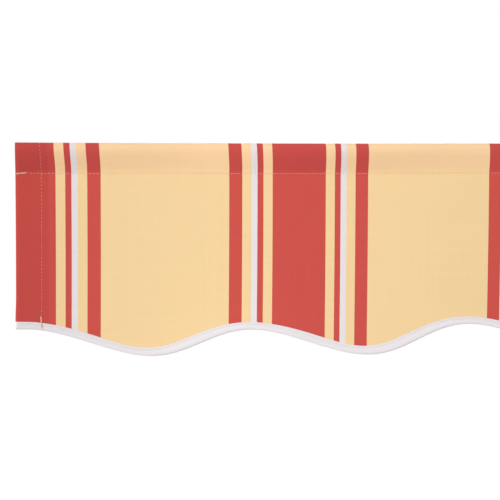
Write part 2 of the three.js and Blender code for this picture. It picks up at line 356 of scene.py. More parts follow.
def make_sheet(name, places, uv, thickness, material, flipped=False):
    """A sheet of one thickness from grids of u, v and out, and from two grids for its UV. Each quad joins its
    left, right, upper right and upper left corner, or the other way round where the rows run down the outside
    face. The wall is grown evenly to both sides."""
    points = finished(*places)
    rows, columns = points.shape[:2]
    corner = np.arange(rows * columns).reshape(rows, columns)
    quads = [corner[:-1, :-1], corner[:-1, 1:], corner[1:, 1:], corner[1:, :-1]]
    faces = np.stack(quads[::-1] if flipped else quads, axis=-1).reshape(-1, 4)
    corner_uv = np.stack(uv, axis=-1).reshape(-1, 2)[faces]
    piece = make_piece(name, points, faces, corner_uv, material)
    wall = piece.modifiers.new("wall", "SOLIDIFY")
    wall.thickness = thickness
    wall.offset = 0
    return piece


# %% [markdown]
# ## Node helpers
#
# Materials here are node trees made in code. One helper adds a node, one does arithmetic on sockets, so that
# a formula can be written as nested calls, and the others build on these two.

# %% Node helpers


def linear(red, green, blue):
    """The colour that a screen shows as these 0 to 255 values, as Blender's scene-linear numbers."""
    value = np.array([red, green, blue]) / 255
    value = np.where(value <= 0.04045, value / 12.92, ((value + 0.055) / 1.055) ** 2.4)
    return (*value.tolist(), 1.0)


def feed(tree, socket, value):
    """Joins value to socket if it is a socket itself, and otherwise sets it as the socket's own value."""
    if isinstance(value, bpy.types.NodeSocket):
        tree.links.new(value, socket)
    else:
        socket.default_value = value


def fill(tree, node, **inputs):
    """Sets or joins a node's inputs by name, with _ for each space."""
    for name, value in inputs.items():
        feed(tree, node.inputs[name.replace("_", " ")], value)


def add(tree, kind, settings=None, **inputs):
    """A new shader node with its settings and its inputs."""
    node = tree.nodes.new("ShaderNode" + kind)
    for name, value in (settings or {}).items():
        setattr(node, name, value)
    fill(tree, node, **inputs)
    return node


def calc(tree, operation, *values):
    """The result of one Math node on sockets or numbers."""
    node = add(tree, "Math", {"operation": operation})
    for socket, value in zip(node.inputs, values):
        feed(tree, socket, value)
    return node.outputs[0]


def between(tree, value, low, high):
    """A mask that rises from 0 to 1 as value goes from low to high. high may be below low."""
    settings = {"interpolation_type": "SMOOTHSTEP"}
    return add(tree, "MapRange", settings, Value=value, From_Min=low, From_Max=high).outputs[0]


def blend_colour(tree, share, first, second, way="MIX"):
    """The result of one colour Mix node: share goes from the first colour to the second."""
    node = add(tree, "Mix", {"data_type": "RGBA", "blend_type": way})
    feed(tree, node.inputs[0], share)
    feed(tree, node.inputs[6], first)
    feed(tree, node.inputs[7], second)
    return node.outputs[2]


def new_group(name, inputs, outputs):
    """An empty node group with its inputs and their values by name, its outputs, and the two nodes that stand
    for them inside."""
    tree = bpy.data.node_groups.new(name, "ShaderNodeTree")
    for socket_name, value in inputs.items():
        kind = "NodeSocketVector" if isinstance(value, tuple) else "NodeSocketFloat"
        socket = tree.interface.new_socket(socket_name, in_out="INPUT", socket_type=kind)
        socket.default_value = value
    for socket_name in outputs:
        tree.interface.new_socket(socket_name, in_out="OUTPUT", socket_type="NodeSocketFloat")
    return tree, tree.nodes.new("NodeGroupInput"), tree.nodes.new("NodeGroupOutput")


# %% [markdown]
# ## The weave
#
# Awning cloth is a plain weave: each thread goes over one and under the next. Across one thread the height is
# half a sine wave. Which of the two directions lies on top follows a chessboard, and that is the parity of
# the thread numbers added up. The group gives out the height for a bump, a mask of where the crossing threads
# lie on top, and a tone that differs from thread to thread. The tape uses it too, with finer threads.

# %% The weave group
YARN_STRETCH = 0.012


def make_weave_group():
    """Plain weave on a place in metres, from the pitch of the upright and of the crossing threads."""
    tree, given, result = new_group(
        "plain weave",
        {"Place": (0, 0, 0), "Upright Pitch": 0.5 * MM, "Crossing Pitch": 0.8 * MM},
        ("Height", "Crossing", "Tone"),
    )
    place = add(tree, "SeparateXYZ", Vector=given.outputs["Place"])
    across = calc(tree, "DIVIDE", place.outputs[0], given.outputs["Upright Pitch"])
    along = calc(tree, "DIVIDE", place.outputs[1], given.outputs["Crossing Pitch"])
    upright = calc(tree, "SINE", calc(tree, "MULTIPLY", calc(tree, "FRACT", across), np.pi))
    crossing = calc(tree, "SINE", calc(tree, "MULTIPLY", calc(tree, "FRACT", along), np.pi))
    number = calc(tree, "ADD", calc(tree, "FLOOR", across), calc(tree, "FLOOR", along))
    on_top = calc(tree, "FLOORED_MODULO", number, 2.0)
    over = calc(tree, "MULTIPLY", crossing, calc(tree, "MULTIPLY_ADD", upright, 0.5, 0.5))
    under = calc(tree, "MULTIPLY", upright, calc(tree, "MULTIPLY_ADD", crossing, 0.5, 0.5))
    rise = calc(tree, "MULTIPLY", calc(tree, "SUBTRACT", over, under), on_top)
    fill(tree, result, Height=calc(tree, "ADD", under, rise))
    fill(tree, result, Crossing=calc(tree, "MULTIPLY", on_top, crossing))

    def yarn_tone(number_across, number_along):
        """Noise that is stretched along a thread and new for the next one."""
        stretched = calc(tree, "MULTIPLY", number_along, YARN_STRETCH)
        spot = add(tree, "CombineXYZ", X=number_across, Y=stretched)
        return add(tree, "TexNoise", Vector=spot.outputs[0], Scale=0.37, Detail=2.0).outputs[0]

    tone = calc(tree, "ADD", yarn_tone(across, along), yarn_tone(along, across))
    fill(tree, result, Tone=calc(tree, "SUBTRACT", tone, 1.0))
    return tree


weave_group = make_weave_group()
print("weave group has", len(weave_group.nodes), "nodes")

# %% [markdown]
# ## Needle holes
#
# A stitch pulls the cloth in where it goes through. There are some two thousand of these dimples, each under
# a millimetre wide, so they are a mask for the bump, and for painted shade in the colour, rather than mesh: a
# bell curve across the seam times one along it that repeats with every stitch, on top of a shallow groove
# along the whole seam.

# %% The needle hole group
STITCH_LENGTH = 4.0 * MM
TAPE_STITCH_LENGTH = 3.4 * MM
HOLE_LENGTH = 0.45 * MM
HOLE_WIDTH = 0.4 * MM
GROOVE_WIDTH = 0.9 * MM


def make_hole_group():
    """A mask that is 1 in each needle hole, and one that is 1 along the seam. The distance to the nearest
    hole is a ping-pong of the place along the seam."""
    tree, given, result = new_group(
        "needle holes",
        {"Along": 0.0, "Across": 0.0, "Stitch Length": STITCH_LENGTH},
        ("Hole", "Groove"),
    )

    def bell(distance, width):
        """e to the minus square of the distance over the width."""
        share = calc(tree, "DIVIDE", distance, width)
        return calc(tree, "EXPONENT", calc(tree, "MULTIPLY", calc(tree, "MULTIPLY", share, share), -1.0))

    half_stitch = calc(tree, "MULTIPLY", given.outputs["Stitch Length"], 0.5)
    from_hole = calc(tree, "PINGPONG", given.outputs["Along"], half_stitch)
    across = given.outputs["Across"]
    hole = calc(tree, "MULTIPLY", bell(from_hole, HOLE_LENGTH), bell(across, HOLE_WIDTH))
    fill(tree, result, Hole=hole, Groove=bell(across, GROOVE_WIDTH))
    return tree


hole_group = make_hole_group()
print("needle hole group has", len(hole_group.nodes), "nodes")

# %% [markdown]
# ## What the materials share
#
# Cloth, tape and thread are all drawn on the flat cut, toned by their yarn and given a bump, and cloth and
# tape are sewn, with painted shade in their needle holes and seam grooves. So each of these steps is written
# once.

# %% What the materials share
# How much painted shade a needle hole and a seam's groove get
HOLE_SHADE_SHARE = 0.14
GROOVE_SHADE_SHARE = 0.02


def new_material(name):
    """A material, its node tree and its Principled shader."""
    material = bpy.data.materials.new(name)
    material.use_nodes = True
    return material, material.node_tree, material.node_tree.nodes["Principled BSDF"]


def start_material(name, sheen):
    """A material of cloth or thread, its tree, its shader, the place on the flat cut, and that place's two
    parts."""
    material, tree, shader = new_material(name)
    fill(tree, shader, Specular_IOR_Level=0.3, Sheen_Weight=sheen, Sheen_Roughness=0.5)
    flat = add(tree, "UVMap", {"uv_map": "flat_cut"}).outputs[0]
    parts = add(tree, "SeparateXYZ", Vector=flat).outputs
    return material, tree, shader, flat, parts[0], parts[1]


def add_weave(tree, flat, upright_pitch, crossing_pitch):
    """The weave group's outputs, for threads of these two pitches."""
    pitches = {"Upright_Pitch": upright_pitch, "Crossing_Pitch": crossing_pitch}
    return add(tree, "Group", {"node_tree": weave_group}, Place=flat, **pitches).outputs


def add_seams(tree, seams, stitch_length, height, hole_depth, groove_depth):
    """How much painted shade the needle holes and grooves of some seams get, and a height with them pressed
    into it. Each seam is given by the place along it and the distance across it."""
    holes, grooves = 0.0, 0.0
    for along, across in seams:
        inputs = {"Along": along, "Across": across, "Stitch_Length": stitch_length}
        seam = add(tree, "Group", {"node_tree": hole_group}, **inputs).outputs
        holes = calc(tree, "ADD", seam["Hole"], holes)
        grooves = calc(tree, "ADD", seam["Groove"], grooves)
    groove_shade = calc(tree, "MULTIPLY", grooves, GROOVE_SHADE_SHARE)
    painted_shade = calc(tree, "ADD", calc(tree, "MULTIPLY", holes, HOLE_SHADE_SHARE), groove_shade)
    height = calc(tree, "MULTIPLY_ADD", holes, -hole_depth, height)
    return painted_shade, calc(tree, "MULTIPLY_ADD", grooves, -groove_depth, height)


def toned(tree, colour, tone):
    """A colour made lighter or darker by a tone, which is 1 where it stays the same."""
    shade = add(tree, "CombineXYZ", X=tone, Y=tone, Z=tone)
    return blend_colour(tree, 1.0, colour, shade.outputs[0], "MULTIPLY")


def finish_material(tree, shader, colour, roughness, height, distance, strength):
    """Joins the colour, the roughness and a bump from the height to the shader."""
    bump = add(tree, "Bump", Height=height, Distance=distance, Strength=strength)
    fill(tree, shader, Base_Color=colour, Roughness=roughness, Normal=bump.outputs[0])


print("a needle hole takes away", HOLE_SHADE_SHARE, "of the light, and a groove", GROOVE_SHADE_SHARE)

# %% [markdown]
# ## The awning cloth
#
# The stripes are dyed in the upright threads, so they run straight up the flat cut, and one row of colours
# repeats every 300 mm with each half a mirror of the other. That makes the pattern a function of one number,
# the distance to the middle of the nearest wide red stripe. A colour ramp is stored in 256 steps, which would
# move the stripes' edges by up to half a millimetre, so each new colour takes over where the distance passes
# its start. The threads that cross are cream all the way along, so a little of it shows in every stripe.
#
# Two layers let less light through than one, and that light and shade is painted into the colour of the
# doubled cloth: the hems are painted a little darker, and in the sleeve the cream is painted a little lighter
# and pinker and the red deeper. A mask on u and one on v multiply the colour there. The cut edges were sealed
# with a hot knife, which leaves a darker line.

# %% The awning cloth's colours
STRIPE_REPEAT = 300 * MM
CREAM = linear(245, 212, 158)
RED = linear(205, 75, 68)
WHITE = linear(233, 226, 228)
# The distance from the middle of a wide red stripe, in mm, at which each colour starts
STRIPES = ((30.3, CREAM), (40.7, RED), (47.4, WHITE), (54.2, CREAM), (64.5, RED), (79.1, CREAM))

# How the sleeve's painted light and shade multiplies each dye, and where it fades in and out along v
SLEEVE_CREAM_PAINTED_LIGHT = (1.08, 1.015, 1.085, 1)
SLEEVE_RED_PAINTED_SHADE = (0.96, 0.86, 0.93, 1)
SLEEVE_WHITE_PAINTED_SHADING = (1.01, 0.99, 0.99, 1)
SLEEVE_SHADING_START = (-0.5 * MM, 1.5 * MM)
SLEEVE_SHADING_END = (SLEEVE_RUN, SLEEVE_RUN - 2 * MM)


def stripe_colour(tree, across):
    """The dyed colour at a place across the cloth, by its distance from the nearest wide red stripe."""
    shifted = calc(tree, "ADD", across, SCALLOP_RUN / 2)
    distance = calc(tree, "PINGPONG", shifted, STRIPE_REPEAT / 2)
    colour = RED
    for start, next_colour in STRIPES:
        passed = calc(tree, "GREATER_THAN", distance, start * MM)
        colour = blend_colour(tree, passed, colour, next_colour)
    return colour


def paint_sleeve_shading(tree, up, colour):
    """The colour, with painted light and shade where v is in the sleeve. Each dye gets a share of its own:
    its green tells the red from the others, and its blue tells the white from the cream."""
    starts, ends = between(tree, up, *SLEEVE_SHADING_START), between(tree, up, *SLEEVE_SHADING_END)
    dye = add(tree, "SeparateColor", Color=colour).outputs
    not_red = between(tree, dye["Green"], RED[1], CREAM[1])
    not_cream = between(tree, dye["Blue"], CREAM[2], WHITE[2])
    sleeve_shading = blend_colour(tree, not_red, SLEEVE_RED_PAINTED_SHADE, SLEEVE_CREAM_PAINTED_LIGHT)
    sleeve_shading = blend_colour(tree, not_cream, sleeve_shading, SLEEVE_WHITE_PAINTED_SHADING)
    return blend_colour(tree, calc(tree, "MULTIPLY", starts, ends), colour, sleeve_shading, "MULTIPLY")


print("stripes in one repeat:", 2 * len(STRIPES))

# %% The awning cloth's material
CROSSING_CREAM = linear(240, 205, 160)
CROSSING_SHARE = 0.05
# Painted shade that darkens the doubled hems, and where it fades in across the cut
HEM_PAINTED_SHADE = (0.94, 0.87, 0.87, 1)
HEM_PAINTED_SHADE_START = (HEM_STITCH_X - 9 * MM, HEM_STITCH_X - 6 * MM)
SEALED_BROWN = linear(150, 96, 70)
SEALED_SHARE = 0.5
SEALED_FROM = 1.2 * MM
SEALED_TO = 0.4 * MM
# The colour of the painted shade in the cloth's needle holes and grooves
HOLE_SHADE_COLOUR = (0.25, 0.12, 0.08, 1)
YARN_TONE = 0.06
SLOW_TONE = 0.04


def cloth_seams(tree, across, up, from_middle):
    """The place along each seam of the cloth and the distance across it: the hems' front and back lines, and
    the sleeve's. The fold takes up more cloth near the tape, so there a hem's back line is further out."""
    near_tape = between(tree, up, CREST_V + SPLAY_START + SPLAY_LENGTH, CREST_V + SPLAY_START)
    taken_up = calc(tree, "MULTIPLY", near_tape, np.pi * (FOLD_RADIUS_BOUND - FOLD_RADIUS))
    hem_lines = (HEM_STITCH_X, calc(tree, "ADD", taken_up, BACK_STITCH_U))
    hems = [(up, calc(tree, "SUBTRACT", from_middle, line)) for line in hem_lines]
    return hems + [(across, calc(tree, "SUBTRACT", up, line)) for line in (FRONT_SEAM_V, BACK_SEAM_V)]


def make_cloth_material():
    """Striped plain weave with needle holes along its seams and sealed cut edges, with painted shade in the
    holes, on the hems and in the sleeve, and painted light on the sleeve's cream.
    """
    material, tree, shader, flat, across, up = start_material("awning_cloth", 0.08)
    from_middle = calc(tree, "ABSOLUTE", across)
    weave = add_weave(tree, flat, 0.5 * MM, 0.8 * MM)
    seams = cloth_seams(tree, across, up, from_middle)
    painted_shade, height = add_seams(tree, seams, STITCH_LENGTH, weave["Height"], 2.5, 1.5)

    shows_cream = calc(tree, "MULTIPLY", weave["Crossing"], CROSSING_SHARE)
    colour = blend_colour(tree, shows_cream, stripe_colour(tree, across), CROSSING_CREAM)
    # Painted light and shade in the sleeve, standing in for the light that the doubled cloth lets through
    colour = paint_sleeve_shading(tree, up, colour)
    # Painted shade on the hems
    colour = blend_colour(tree, between(tree, from_middle, *HEM_PAINTED_SHADE_START), colour, HEM_PAINTED_SHADE, "MULTIPLY")
    side_edge = between(tree, from_middle, FLAT_HALF - SEALED_FROM, FLAT_HALF - SEALED_TO)
    tail_edge = between(tree, up, TAIL_END - SEALED_FROM, TAIL_END - SEALED_TO)
    sealed = calc(tree, "MAXIMUM", side_edge, tail_edge)
    colour = blend_colour(tree, calc(tree, "MULTIPLY", sealed, SEALED_SHARE), colour, SEALED_BROWN)
    # Painted shade in the needle holes and along the seams' grooves
    colour = blend_colour(tree, painted_shade, colour, HOLE_SHADE_COLOUR, "MULTIPLY")

    slow = add(tree, "TexNoise", Vector=flat, Scale=7.0, Detail=2.0)
    slow_tone = calc(tree, "MULTIPLY_ADD", slow.outputs[0], SLOW_TONE, -SLOW_TONE / 2)
    tone = calc(tree, "ADD", calc(tree, "MULTIPLY_ADD", weave["Tone"], YARN_TONE, 1.0), slow_tone)
    rough = calc(tree, "MULTIPLY_ADD", weave["Height"], -0.1, 0.9)
    rough = calc(tree, "SUBTRACT", rough, calc(tree, "MULTIPLY", sealed, 0.3))
    finish_material(tree, shader, toned(tree, colour, tone), rough, height, 0.06 * MM, 0.8)
    return material


cloth_material = make_cloth_material()
print("awning cloth material has", len(cloth_material.node_tree.nodes), "nodes")

# %% [markdown]
# ## The cloth
#
# One grid covers the whole flat cut, hems and sleeve and all. Its columns are 3.5 mm apart on the panel and
# much closer round the two side folds, and its rows are closer round the sleeve. Columns near a side fold
# have to turn with it, and the fold is a little larger where the tape is inside it. So there a column is a
# share of the way round the fold, and u is worked out from that share for each row.

# %% The cloth's grid
PANEL_COLUMNS = 436
FOLD_COLUMNS = 8
HEM_COLUMNS = 11

panel_u = np.linspace(-FOLD_LINE, FOLD_LINE, PANEL_COLUMNS + 1)
# Shares of the way round a side fold, then 1 plus shares of the way along the hem behind it
fold_shares = np.linspace(0, 1, FOLD_COLUMNS + 1)[1:]
side_shares = np.concatenate([fold_shares, 1 + np.linspace(0, 1, HEM_COLUMNS + 1)[1:]])
# u for each column where only the lower edge's shape matters, as it is level past the fold line
past_fold = np.full(len(side_shares), FOLD_LINE)
nominal = np.concatenate([-past_fold, panel_u, past_fold])


def cut_columns(rise):
    """u for each column, at a height above the lower edge that may differ from row to row. Past a fold line
    the fold takes up pi times its radius, and the hem the rest up to the cut edge."""
    arc = np.pi * fold_radius(rise)[:, None]
    round_fold = FOLD_LINE + arc * np.minimum(side_shares, 1)
    right = round_fold + (FLAT_HALF - FOLD_LINE - arc) * np.maximum(side_shares - 1, 0)
    middle = np.broadcast_to(panel_u, (len(rise), len(panel_u)))
    return np.concatenate([-right[:, ::-1], middle, right], axis=1)


print("columns:", len(nominal))

# %% The cloth
PANEL_ROWS = 48
SLEEVE_ROWS = 42
TAIL_ROWS = 4
TUCK = TAPE_FACE + 0.3 * MM


def cloth_grid():
    """u and v for each row and column. A panel row is a share of the way from the tucked edge to the sleeve,
    and the rows above it are at the same v right across."""
    shares = np.linspace(0, 1, PANEL_ROWS + 1)[:-1]
    tucked = lower_edge(nominal) + TUCK * edge_square(nominal)[1]
    panel_v = mix(tucked[None, :], 0.0, shares[:, None])
    sleeve_v = np.linspace(0, SLEEVE_RUN, SLEEVE_ROWS + 1)
    tail_v = np.linspace(SLEEVE_RUN, TAIL_END, TAIL_ROWS + 1)[1:]
    level_v = np.concatenate([sleeve_v, tail_v])
    upper_v = np.broadcast_to(level_v[:, None], (len(level_v), len(nominal)))
    v = np.concatenate([panel_v, upper_v])
    return cut_columns(v[:, 0] - lower_edge(FOLD_LINE)), v


cloth_u, cloth_v = cloth_grid()
cloth = make_sheet("cloth", (cloth_u, cloth_v, 0.0), (cloth_u, cloth_v), CLOTH_THICKNESS, cloth_material)
print("cloth:", cloth_u.shape[0], "rows,", cloth_u.shape[1], "columns,", len(cloth.data.polygons), "quads")

# %% [markdown]
# ## The white tape
#
# The lower edge is bound with a tape folded in half round it and sewn through near its cut edges. It is fed
# by hand, and is widest on the slopes that rise and narrowest at the crests. Its profile is a narrow U: two
# legs that lie flat from the cut edge to the stitches and part a little below them, and half an ellipse round
# the cloth's edge. It is measured square to the lower edge, and carried along it.

# %% The white tape's material
TAPE_WHITE = linear(235, 229, 232)
# The colour of the painted shade on the tape
TAPE_SHADE_COLOUR = (0.3, 0.3, 0.34, 1)
TAPE_STITCH_UP = 7.3 * MM
TAPE_STITCH_INSET = 2.5 * MM
# How much painted shade the tape's lower fold gets where it turns under, and how far up it fades
FOLD_SHADE = 0.15
FOLD_SHADE_REACH = (3.2 * MM, 0.2 * MM)
TAPE_YARN_TONE = 0.08


def make_tape_material():
    """Fine white weave with ribs across the tape, a needle groove along each leg, and painted shade at the
    fold, in the needle holes and along the grooves.
    """
    material, tree, shader, flat, along, leg = start_material("binding_tape", 0.1)
    weave = add_weave(tree, flat, 0.55 * MM, 0.35 * MM)
    from_fold = calc(tree, "ABSOLUTE", leg)
    seams = [(along, calc(tree, "SUBTRACT", from_fold, TAPE_STITCH_UP))]
    painted_shade, height = add_seams(tree, seams, TAPE_STITCH_LENGTH, weave["Height"], 2.0, 1.2)
    # Painted shade where the tape's fold turns under
    at_fold = between(tree, from_fold, *FOLD_SHADE_REACH)
    painted_shade = calc(tree, "ADD", painted_shade, calc(tree, "MULTIPLY", at_fold, FOLD_SHADE))
    tone = calc(tree, "MULTIPLY_ADD", weave["Tone"], TAPE_YARN_TONE, 1.0)
    colour = blend_colour(tree, painted_shade, toned(tree, TAPE_WHITE, tone), TAPE_SHADE_COLOUR, "MULTIPLY")
    rough = calc(tree, "MULTIPLY_ADD", weave["Height"], -0.12, 0.86)
    finish_material(tree, shader, colour, rough, height, 0.06 * MM, 0.8)
    return material


tape_material = make_tape_material()
print("binding tape material has", len(tape_material.node_tree.nodes), "nodes")

# %% The white tape
TAPE_LEG_ROWS = 9
TAPE_FOLD_ROWS = 12
TAPE_FOLD_RADIUS = 0.95 * MM
TAPE_FOLD_HEIGHT = 2.7 * MM
TAPE_FOLD_TOP = TAPE_FOLD_HEIGHT + TAPE_THICKNESS / 2
TAPE_MEAN_WIDTH = 9.8 * MM
# For one and for two waves in each scallop, how much of a cosine and of a sine the width has
TAPE_SWAY = ((1, -0.45 * MM, -1.1 * MM), (2, -0.8 * MM, 0.2 * MM))
TAPE_DRIFT = ((0.4 * MM, 0.5, -0.23),)


def tape_width(u):
    """How far the tape reaches up the cloth, square to the edge. About 10 mm, less at a crest and more on the
    slope after each low point, as a sum of waves in the scallop's angle. It also drifts a little along the
    strip, as it was fed by hand."""
    turn = scallop_turn(np.clip(u, -SCALLOP_RUN / 2, SCALLOP_RUN / 2))
    width = TAPE_MEAN_WIDTH + ripple(u, TAPE_DRIFT)
    for times, cosine, sine in TAPE_SWAY:
        width = width + cosine * np.cos(times * turn) + sine * np.sin(times * turn)
    return width


def tape_lift(up, width):
    """How far the leg's middle stands off the cloth's middle: the radius of the fold at the bottom, going
    smoothly to where it lies on the cloth at the stitches. In the fold it is the radius times the root of one
    minus the square of the share of the way down."""
    share = (up - TAPE_FOLD_TOP) / (width - TAPE_STITCH_INSET - TAPE_FOLD_TOP)
    down = np.clip((TAPE_FOLD_TOP - up) / TAPE_FOLD_HEIGHT, 0, 1)
    return mix(TAPE_FOLD_RADIUS, TAPE_MIDDLE, smooth(share)) * np.sqrt(1 - down**2)


def tape_profile(width):
    """The tape's profile from its front cut edge down, round the fold and up to its back cut edge: the height
    above the lower edge, the distance out of the cloth, and the place across the tape from the fold. The last
    is stretched a little with the width, so that the stitches lie at the same place all along."""
    shares = np.linspace(1, 0, TAPE_LEG_ROWS + 1)[:, None]
    up = mix(TAPE_FOLD_TOP, width[None, :], shares)
    out = tape_lift(up, width)
    angle = np.linspace(0, np.pi, TAPE_FOLD_ROWS + 1)[1:-1, None] + 0 * width
    ups = np.concatenate([up, TAPE_FOLD_TOP - TAPE_FOLD_HEIGHT * np.sin(angle), up[::-1]])
    outs = np.concatenate([out, TAPE_FOLD_RADIUS * np.cos(angle), -out[::-1]])
    legs = np.concatenate([up, TAPE_FOLD_TOP * np.cos(angle), -up[::-1]])
    return ups, outs, legs * TAPE_STITCH_UP / (width - TAPE_STITCH_INSET)


def edge_place(u, up):
    """The place on the flat cut that is up from the lower edge, square to it, starting from u."""
    slope, square = edge_square(u)
    return u - up * slope / square, lower_edge(u) + up / square


tape_up, tape_out, tape_leg = tape_profile(tape_width(nominal))
tape_u = cut_columns(np.zeros(len(tape_up)))
tape_places = (*edge_place(tape_u, tape_up), tape_out)
binding = make_sheet("binding", tape_places, (tape_u, tape_leg), TAPE_THICKNESS, tape_material, flipped=True)
print("binding:", len(binding.data.polygons), "quads")

# %% [markdown]
# ## Sewing thread
#
# A lockstitch has one thread on each face of the cloth. Each lies on the surface between two holes and dips
# into every hole, where it loops round the other. So a seam is one long tube on each face, whose distance
# from the cloth rises and falls with every stitch. At each point the tube's ring is spanned by the way out of
# the cloth and the way across the thread.

# %% Thread material and tube
TWIST_LENGTH = 0.9 * MM
THREAD_SIDES = 6


def make_thread_material(name, colour):
    """Twisted thread: stripes that wind round it as a bump and as painted shade in the grooves between the
    plies, with a soft shine.
    """
    material, tree, shader, _, along, around = start_material(name, 0.15)
    wound = calc(tree, "MULTIPLY", along, 2 * np.pi / TWIST_LENGTH)
    twist = calc(tree, "SINE", calc(tree, "MULTIPLY_ADD", around, 4 * np.pi, wound))
    # The tone follows the twist: painted shade in the grooves between the plies, a little painted light on
    # top
    tone = calc(tree, "MULTIPLY_ADD", twist, 0.07, 0.95)
    rough = calc(tree, "MULTIPLY_ADD", twist, -0.08, 0.58)
    finish_material(tree, shader, toned(tree, colour, tone), rough, twist, 0.03 * MM, 0.7)
    return material


def make_thread(name, path, material):
    """A tube along a path of u, v and out. The way out of the cloth is found by taking each place a little
    further out, and the way across is square to that and to the way along. The tube's two ends are closed."""
    u, v, out = path
    middle = finished(u, v, out)
    outward = finished(u, v, out + 0.1 * MM) - middle
    along = np.gradient(middle, axis=0)
    along /= np.linalg.norm(along, axis=1, keepdims=True)
    outward -= along * (outward * along).sum(axis=1, keepdims=True)
    outward /= np.linalg.norm(outward, axis=1, keepdims=True)
    across = np.cross(along, outward)
    side = np.arange(THREAD_SIDES) / THREAD_SIDES
    angle = 2 * np.pi * side[None, :, None]
    ring = np.cos(angle) * outward[:, None] + np.sin(angle) * across[:, None]
    corner = np.arange(len(middle) * THREAD_SIDES).reshape(-1, THREAD_SIDES)
    beside = np.roll(corner, -1, axis=1)
    faces = np.stack([corner[:-1], beside[:-1], beside[1:], corner[1:]], axis=-1).reshape(-1, 4)
    run = np.concatenate([[0], np.cumsum(np.linalg.norm(np.diff(middle, axis=0), axis=1))])
    left = np.stack(np.broadcast_arrays(run[:, None], side[None, :]), axis=-1)
    right = left + [0, 1 / THREAD_SIDES]
    corner_uv = np.stack([left[:-1], right[:-1], right[1:], left[1:]], axis=2)
    ends = (corner[0, ::-1].tolist(), corner[-1].tolist())
    return make_piece(name, middle[:, None] + THREAD_RADIUS * ring, faces, corner_uv, material, ends)


sewn = {}


def sew(seam, front_path, back_path, material):
    """Makes the two threads of a seam, one on each face, and keeps them under the seam's name."""
    front = make_thread(f"{seam}_front_stitches", front_path, material)
    back = make_thread(f"{seam}_back_stitches", back_path, material)
    sewn[seam] = (front, back)
    print(seam, "seam:", len(front.data.polygons), "faces in front,", len(back.data.polygons), "behind")


seam_thread = make_thread_material("seam_thread", linear(250, 220, 184))
binding_thread = make_thread_material("binding_thread", linear(240, 236, 238))
print("thread materials:", seam_thread.name, "and", binding_thread.name)

# %% Stitches
# The shares of a stitch at which its thread gets a ring: close together at the holes, wide apart between
STITCH_RINGS = np.array([0.0, 0.06, 0.13, 0.26, 0.5, 0.74, 0.87, 0.94])
STITCH_RISE = 0.13
SLEEVE_STITCH_SUNK = 0.17
HEM_STITCH_SUNK = 0.27
ON_CLOTH = 0.8 * THREAD_RADIUS


def stitch_line(start, end, length, sunk=0.0):
    """Places along a seam between start and end, with a ring at each share of each stitch, and how far the
    thread is out of its hole there, from 0 in the hole to 1 on the surface. The holes are at whole multiples
    of the stitch length, where the material has its dimples. A thread that is drawn tight sinks into the
    cloth over a share, sunk, of the stitch at each end."""
    first = np.ceil(start / length)
    count = int(np.floor(end / length) - first)
    rings = sunk + (1 - 2 * sunk) * STITCH_RINGS
    if sunk > 0:
        rings = np.concatenate([[0.0], rings, [1 - sunk]])
    shares = (np.arange(count)[:, None] + rings[None, :]).ravel()
    shares = np.append(shares, count)
    from_hole = np.abs(shares - np.round(shares))
    risen = smooth((from_hole - sunk) / (STITCH_RISE * (1 - 2 * sunk)))
    return (first + shares) * length, risen


def on_cloth(lifted):
    """The distance of a thread from the cloth's middle: from 0 in a hole to where it lies on the surface."""
    return (HALF_CLOTH + ON_CLOTH) * lifted


print("rings in 40 mm of seam:", len(stitch_line(0, 40 * MM, STITCH_LENGTH)[0]))

# %% [markdown]
# ## The sleeve's seam
#
# The seam that closes the sleeve runs right along, and each of its ends is locked with a tack, a dense zigzag
# over the last ten millimetres. The zigzag is the same thread carrying on, so the path simply starts to swing
# up and down. One thread shows on the front and its partner on the tail at the back.

# %% The sleeve's seam
TACK_LENGTH = 10 * MM
TACK_SWING = 1.0 * MM
TACK_SLANT = 0.9 * MM
TACK_INSET = 1.2 * MM
TACK_STEPS = 34
# How far the thread's middle is out of the cloth in a tack, where it turns and half way between
TACK_DIP = 0.3 * THREAD_RADIUS
TACK_TOP = 1.3 * THREAD_RADIUS


def sleeve_seam_path(seam_v):
    """u, v and out along the sleeve's seam: zigzag, plain stitches and zigzag. In a zigzag v swings to either
    side with each step, and the thread dips at each turning point."""
    end = HALF_WIDTH - TACK_INSET
    plain_u, lifted = stitch_line(-end + TACK_LENGTH, end - TACK_LENGTH, STITCH_LENGTH, SLEEVE_STITCH_SUNK)
    steps = np.arange(TACK_STEPS * 2 + 1) / 2
    tack_u = -end + TACK_LENGTH * steps / TACK_STEPS
    tack_v = TACK_SWING * np.round(np.cos(np.pi * steps)) + TACK_SLANT * (steps / TACK_STEPS - 0.5)
    tack_out = HALF_CLOTH + np.where(steps == np.round(steps), TACK_DIP, TACK_TOP)
    u = np.concatenate([tack_u, plain_u, -tack_u[::-1]])
    v = seam_v + np.concatenate([tack_v, 0 * plain_u, tack_v[::-1]])
    out = np.concatenate([tack_out, on_cloth(lifted), tack_out[::-1]])
    return u, v, out


sew("sleeve", sleeve_seam_path(FRONT_SEAM_V), sleeve_seam_path(BACK_SEAM_V), seam_thread)

# %% [markdown]
# ## The side hems' seams
#
# Each hem was sewn before the sleeve was folded, so its stitches run up the panel, over the top of the sleeve
# and down its back. At the bottom they cross the tape. There the first stitches are sewn over twice more to
# lock them, which is called a back-tack, and the thread is tied off with a small knot and a short cut end.

# %% The side hems' seams
KNOT_UP = 2.6 * MM
KNOT_RADIUS = 0.7 * MM
KNOT_END = 2.2 * MM
KNOT_END_REACH = 1.2 * MM
KNOT_END_BEND = 0.8
KNOT_FACE_LOW = 1.0 * MM
KNOT_RISE = 1.8
BACK_TACK_TOP = 16 * MM
BACK_TACK_PILE = 0.3 * THREAD_RADIUS
